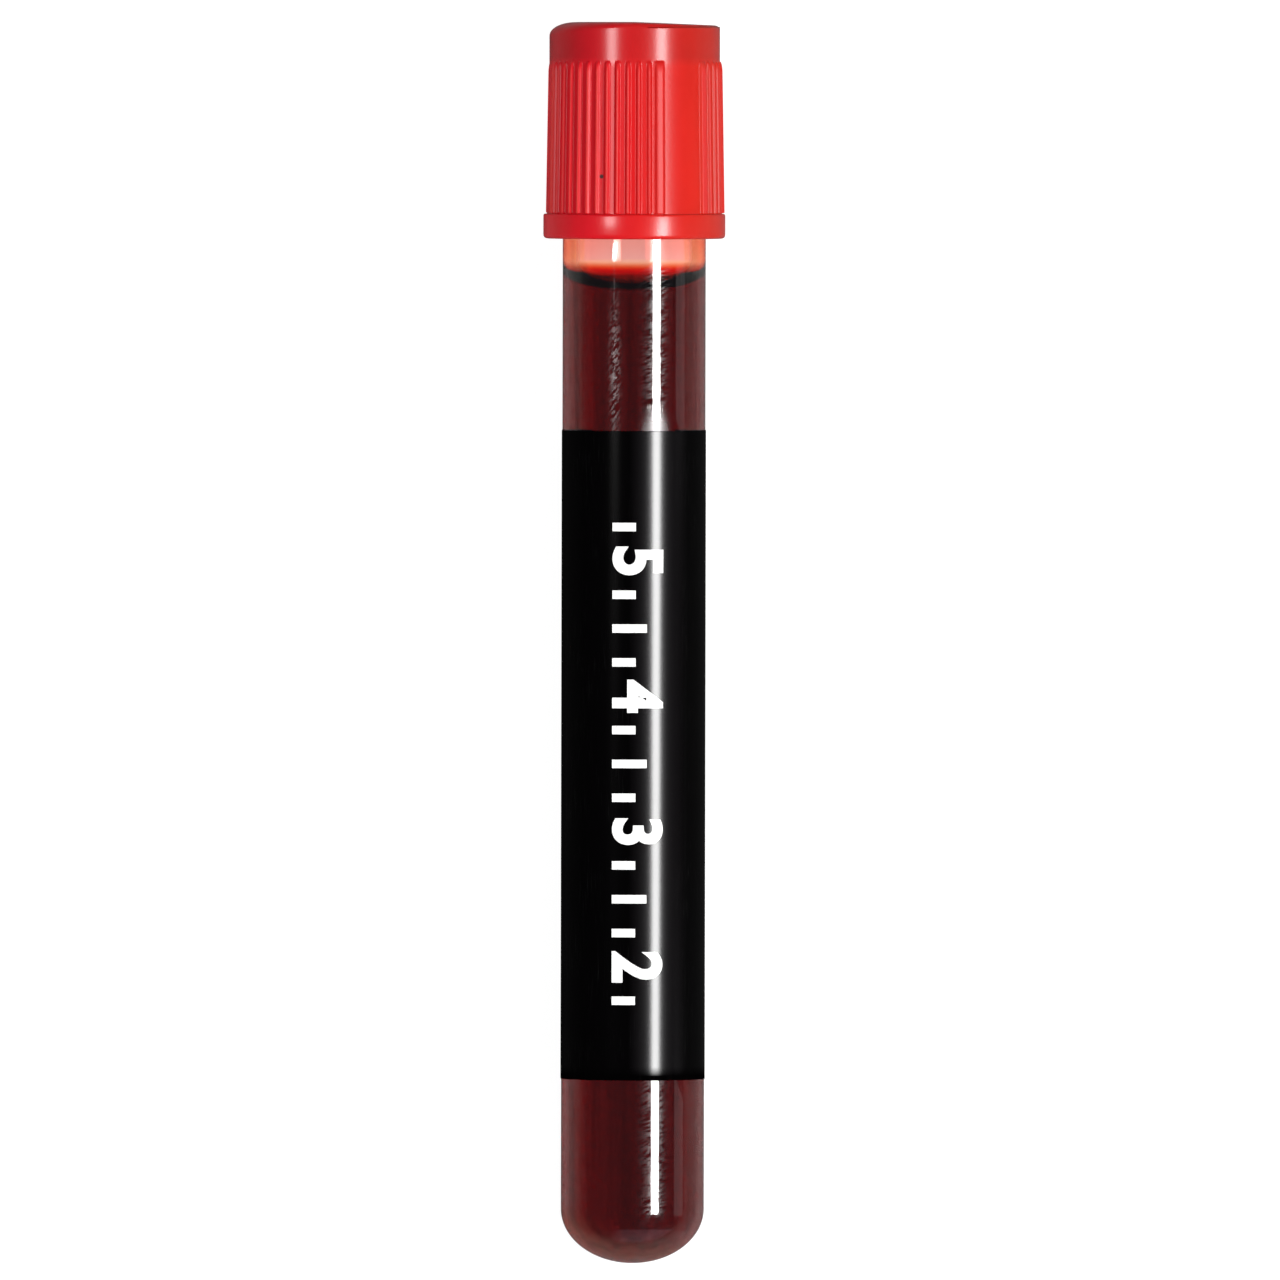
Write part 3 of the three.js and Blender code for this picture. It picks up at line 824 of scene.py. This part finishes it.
# The band is darker, and its darker left part is painted shade.
band_darker_painted_left = between(red, sideways, -0.0075, -0.002, 0.64, 0.82)
band_darker = between(red, cap_height, BAND_BOTTOM - 0.4, BAND_BOTTOM + 0.4, 1.0, band_darker_painted_left)
shade = times(red, band_darker, between(red, pigment, 0.3, 0.7, 0.93, 1.04))
body = add(red, "VectorMath", {0: body, 3: shade}, operation="SCALE").outputs[0]
# Painted sheen: the crests of the ribs are a paler red.
body = blended(red, between(red, on_crest, 0.75, 1.0), body, CREST_PAINTED_SHEEN)
speck = times(red, near(red, sideways, -0.00291, 0.00022), near(red, cap_height, 96.57, 0.22))
body = blended(red, between(red, speck, 0.05, 0.3), body, (0.05, 0.004, 0.004))
feed(red, body, red_shader.inputs["Base Color"])
above_flange = between(red, cap_height, FLANGE_TOP, FLANGE_TOP + 0.2)
ribbed = times(red, above_flange, between(red, cap_height, BAND_BOTTOM, BAND_BOTTOM - 0.5))
feed(red, between(red, on_crest, 0.1, 0.6, 0.3, 0.42), red_shader.inputs["Roughness"])
feed(red, between(red, ribbed, 0.0, 1.0, 0.5, 0.08), red_shader.inputs["Coat Weight"])
pits = grain(red, stretched(red, (2500, 4200, 4200)), 1.0, 3.0, 0.6)
feed(red, relief(red, pits, 0.25, 0.00004), red_shader.inputs["Normal"])
cap.data.materials.append(red)

# %% [markdown]
# ## Rubber, film and ink
#
# Stopper rubber is matt and slightly dusty: fine grain lifts its colour and its roughness together. The film is
# black with hair scratches. Its gloss is a coat of lacquer, laid in a band over the right half of the front and
# stopping short of the lower edge, with faint waves because it is stretched over the tube. The ink is dense
# white with a trace of pinholes.

# %% Stopper material
rubber, rubber_shader = finish("stopper rubber", {})
dust = grain(rubber, stretched(rubber, (900, 900, 900)), 1.0, 4.0, 0.65)
tone = between(rubber, dust, 0.4, 0.75)
dusty = blended(rubber, tone, (0.25, 0.021, 0.018), (0.33, 0.05, 0.042))
feed(rubber, dusty, rubber_shader.inputs["Base Color"])
feed(rubber, between(rubber, dust, 0.3, 0.7, 0.55, 0.8), rubber_shader.inputs["Roughness"])
fine = grain(rubber, stretched(rubber, (6000, 6000, 6000)), 1.0, 3.0, 0.6)
feed(rubber, relief(rubber, fine, 0.3, 0.00005), rubber_shader.inputs["Normal"])
stopper.data.materials.append(rubber)

# %% Label materials
LACQUER = {"Specular IOR Level": 0.0, "Coat IOR": 1.47, "Coat Roughness": 0.185}
film_black, film_shader = finish("black film", LACQUER)
hairs = grain(film_black, stretched(film_black, (350, 9000, 9000)), 1.0, 2.0, 0.6)
rubs = grain(film_black, stretched(film_black, (220, 300, 300)), 1.0, 3.0, 0.6)
worn = times(film_black, between(film_black, hairs, 0.55, 0.75), between(film_black, rubs, 0.45, 0.65))
black = blended(film_black, worn, (0.0006, 0.0005, 0.0006), (0.004, 0.004, 0.004))
feed(film_black, black, film_shader.inputs["Base Color"])
dulled = between(film_black, rubs, 0.3, 0.7, 0.25, 0.4)
feed(film_black, dulled, film_shader.inputs["Roughness"])
lacquer = between(film_black, height_of(film_black), LABEL_BOTTOM + 0.4, LABEL_BOTTOM + 1.2)
sideways = add(film_black, "SeparateXYZ", {0: add(film_black, "TexCoord").outputs["Object"]}).outputs["Y"]
into_band = between(film_black, sideways, 0.0004, -0.0008, 0.08, 1.0)
out_of_band = between(film_black, sideways, -0.0034, -0.0048, 1.0, 0.15)
lacquer = times(film_black, times(film_black, lacquer, into_band), out_of_band)
feed(film_black, lacquer, film_shader.inputs["Coat Weight"])
waves = grain(film_black, stretched(film_black, (60, 420, 420)), 1.0, 1.0, 0.4)
feed(film_black, relief(film_black, waves, 0.12, 0.00006), film_shader.inputs["Coat Normal"])
label.data.materials.append(film_black)
white_ink, ink_shader = finish("white ink", {"IOR": 1.4})
pinholes = grain(white_ink, stretched(white_ink, (3600, 3600, 3600)), 1.0, 2.0, 0.5)
ink_white = blended(white_ink, between(white_ink, pinholes, 0.24, 0.34), (0.5, 0.5, 0.5), (0.93, 0.93, 0.92))
feed(white_ink, ink_white, ink_shader.inputs["Base Color"])
feed(white_ink, between(white_ink, pinholes, 0.3, 0.7, 0.3, 0.42), ink_shader.inputs["Roughness"])
ink.data.materials.append(white_ink)

# %% [markdown]
# ## Floor, lamps and camera
#
# The floor is plain white to the camera. In reflections it is a plain dim grey, and through the plastic it is
# dimmer away from the tube, and the same goes for the room: a white room would wash out the dark blood and the
# black film. That is a stand-in for the black cards that a studio sets round a glossy object. Two long strips
# make the two bright lines, two small lamps and a flare shape the ends of those lines, and two cards
# brighten the side of the closure and of the base. The camera looks straight down from far away.

# %% Floor
FLOOR_SIZE = 4.0
half = FLOOR_SIZE / 2
floor_mesh = bpy.data.meshes.new("floor")
floor_corners = [(-half, -half, 0), (half, -half, 0), (half, half, 0), (-half, half, 0)]
floor_mesh.from_pydata(floor_corners, [], [(0, 1, 2, 3)])
floor = bpy.data.objects.new("floor", floor_mesh)
bpy.context.scene.collection.objects.link(floor)
paper, paper_shader = finish("white paper", {"Roughness": 0.9, "Specular IOR Level": 0.0})
path = add(paper, "LightPath")
floor_place = add(paper, "SeparateXYZ", {0: add(paper, "TexCoord").outputs["Object"]})
floor_y = floor_place.outputs["Y"]
base = blended(paper, path.outputs["Is Glossy Ray"], (0.8, 0.8, 0.8), (0.15, 0.15, 0.15))
feed(paper, base, paper_shader.inputs["Base Color"])
seen = times(paper, path.outputs["Is Camera Ray"], path.outputs["Is Transmission Ray"], "MAXIMUM")
beside = between(paper, times(paper, floor_y, 0.0, "ABSOLUTE"), 0.0095, 0.014, 1.0, 0.6)
glow_strength = between(paper, path.outputs["Is Transmission Ray"], 0.0, 1.0, 0.86, beside)
glow = add(paper, "Emission", {"Color": (1, 1, 1, 1), "Strength": glow_strength})
lit = add(paper, "BsdfDiffuse", {"Color": (0.28, 0.28, 0.28, 1)})
bright = add(paper, "AddShader", {0: glow.outputs[0], 1: lit.outputs[0]})
swap = add(paper, "MixShader", {0: seen, 1: paper_shader.outputs[0], 2: bright.outputs[0]})
feed(paper, swap.outputs[0], paper.node_tree.nodes["Material Output"].inputs["Surface"])
floor_mesh.materials.append(paper)

# %% World
world = bpy.data.worlds.new("studio")
bpy.context.scene.world = world
world.use_nodes = True
world.node_tree.nodes.clear()
path = add(world, "LightPath")
direction = add(world, "TexCoord").outputs["Generated"]
parts = add(world, "SeparateXYZ", {0: direction})
room_light = between(world, parts.outputs["Y"], -1.0, 1.0, 0.15, 0.75)
room = add(world, "Background", {"Color": (1, 1, 1, 1), "Strength": room_light})
ceiling = between(world, parts.outputs["Z"], -0.1, 0.55, 0.1, 0.135)
facing = times(world, between(world, parts.outputs["Z"], -1.0, 1.0), 0.5, "POWER")
slope = times(world, parts.outputs["X"], facing, "DIVIDE")
to_left = between(world, parts.outputs["Y"], 0.45, 0.2, 0.0, 0.3)
end_wall = times(world, between(world, slope, -0.91, -0.935), to_left)
ceiling = times(world, ceiling, end_wall, "ADD")
dark = add(world, "Background", {"Color": (1, 0.85, 1, 1), "Strength": ceiling})
white = add(world, "Background", {"Color": (1, 1, 1, 1), "Strength": 1.0})
mirrored = add(world, "MixShader", {0: path.outputs["Is Glossy Ray"], 1: room.outputs[0], 2: dark.outputs[0]})
by_camera = path.outputs["Is Camera Ray"]
seen_sky = add(world, "MixShader", {0: by_camera, 1: mirrored.outputs[0], 2: white.outputs[0]})
feed(world, seen_sky.outputs[0], add(world, "OutputWorld").inputs["Surface"])


# %% Lamps
def softbox(name, angle, distance, across, start, end, radiance, shape="RECTANGLE"):
    """A rectangular lamp along the tube. It hangs at an angle from straight above, positive to the right, and
    faces the tube. Its power is its radiance times its area times pi."""
    lamp = bpy.data.lights.new(name, "AREA")
    lamp.shape, lamp.size, lamp.size_y = shape, end - start, across
    lamp.energy = radiance * lamp.size * lamp.size_y * math.pi
    holder = bpy.data.objects.new(name, lamp)
    bpy.context.scene.collection.objects.link(holder)
    turn = math.radians(angle)
    holder.location = ((start + end) / 2, -distance * math.sin(turn), distance * math.cos(turn) + 0.007)
    holder.rotation_euler = (turn, 0, 0)
    print(f"{name}: {lamp.energy:.2f} W")
    return holder


softbox("right strip", 36.4, 0.4, 0.090, -0.1400, 0.0720, 28.0)
softbox("left strip, cap end", -30.5, 0.4, 0.085, 0.0256, 0.0720, 27.0)
softbox("left window", -31.2, 0.4, 0.060, 0.0229, 0.0248, 20.0, "ELLIPSE")
softbox("left sliver", -32.2, 0.4, 0.008, 0.0175, 0.0225, 0.8)
softbox("flare at the label", 35.0, 0.4, 0.20, 0.0042, 0.0076, 14.0, "ELLIPSE")
softbox("side card, cap end", 80, 0.4, 0.13, 0.0115, 0.031, 0.45)
softbox("side card, base end", 80, 0.4, 0.13, -0.15, -0.0530, 0.45)

# %% Camera
CAMERA_HEIGHT, FIELD, ROLL = 3.6, 0.11366, 0.12
camera_data = bpy.data.cameras.new("camera")
camera_data.sensor_width = 36
camera_data.lens = 36 * CAMERA_HEIGHT / FIELD
camera = bpy.data.objects.new("camera", camera_data)
bpy.context.scene.collection.objects.link(camera)
camera.location = (0.0002, -0.00058, CAMERA_HEIGHT + 0.0075)
camera.rotation_euler = (0, 0, -math.pi / 2 + math.radians(ROLL))
bpy.context.scene.camera = camera
bpy.context.scene.view_settings.view_transform = "Standard"
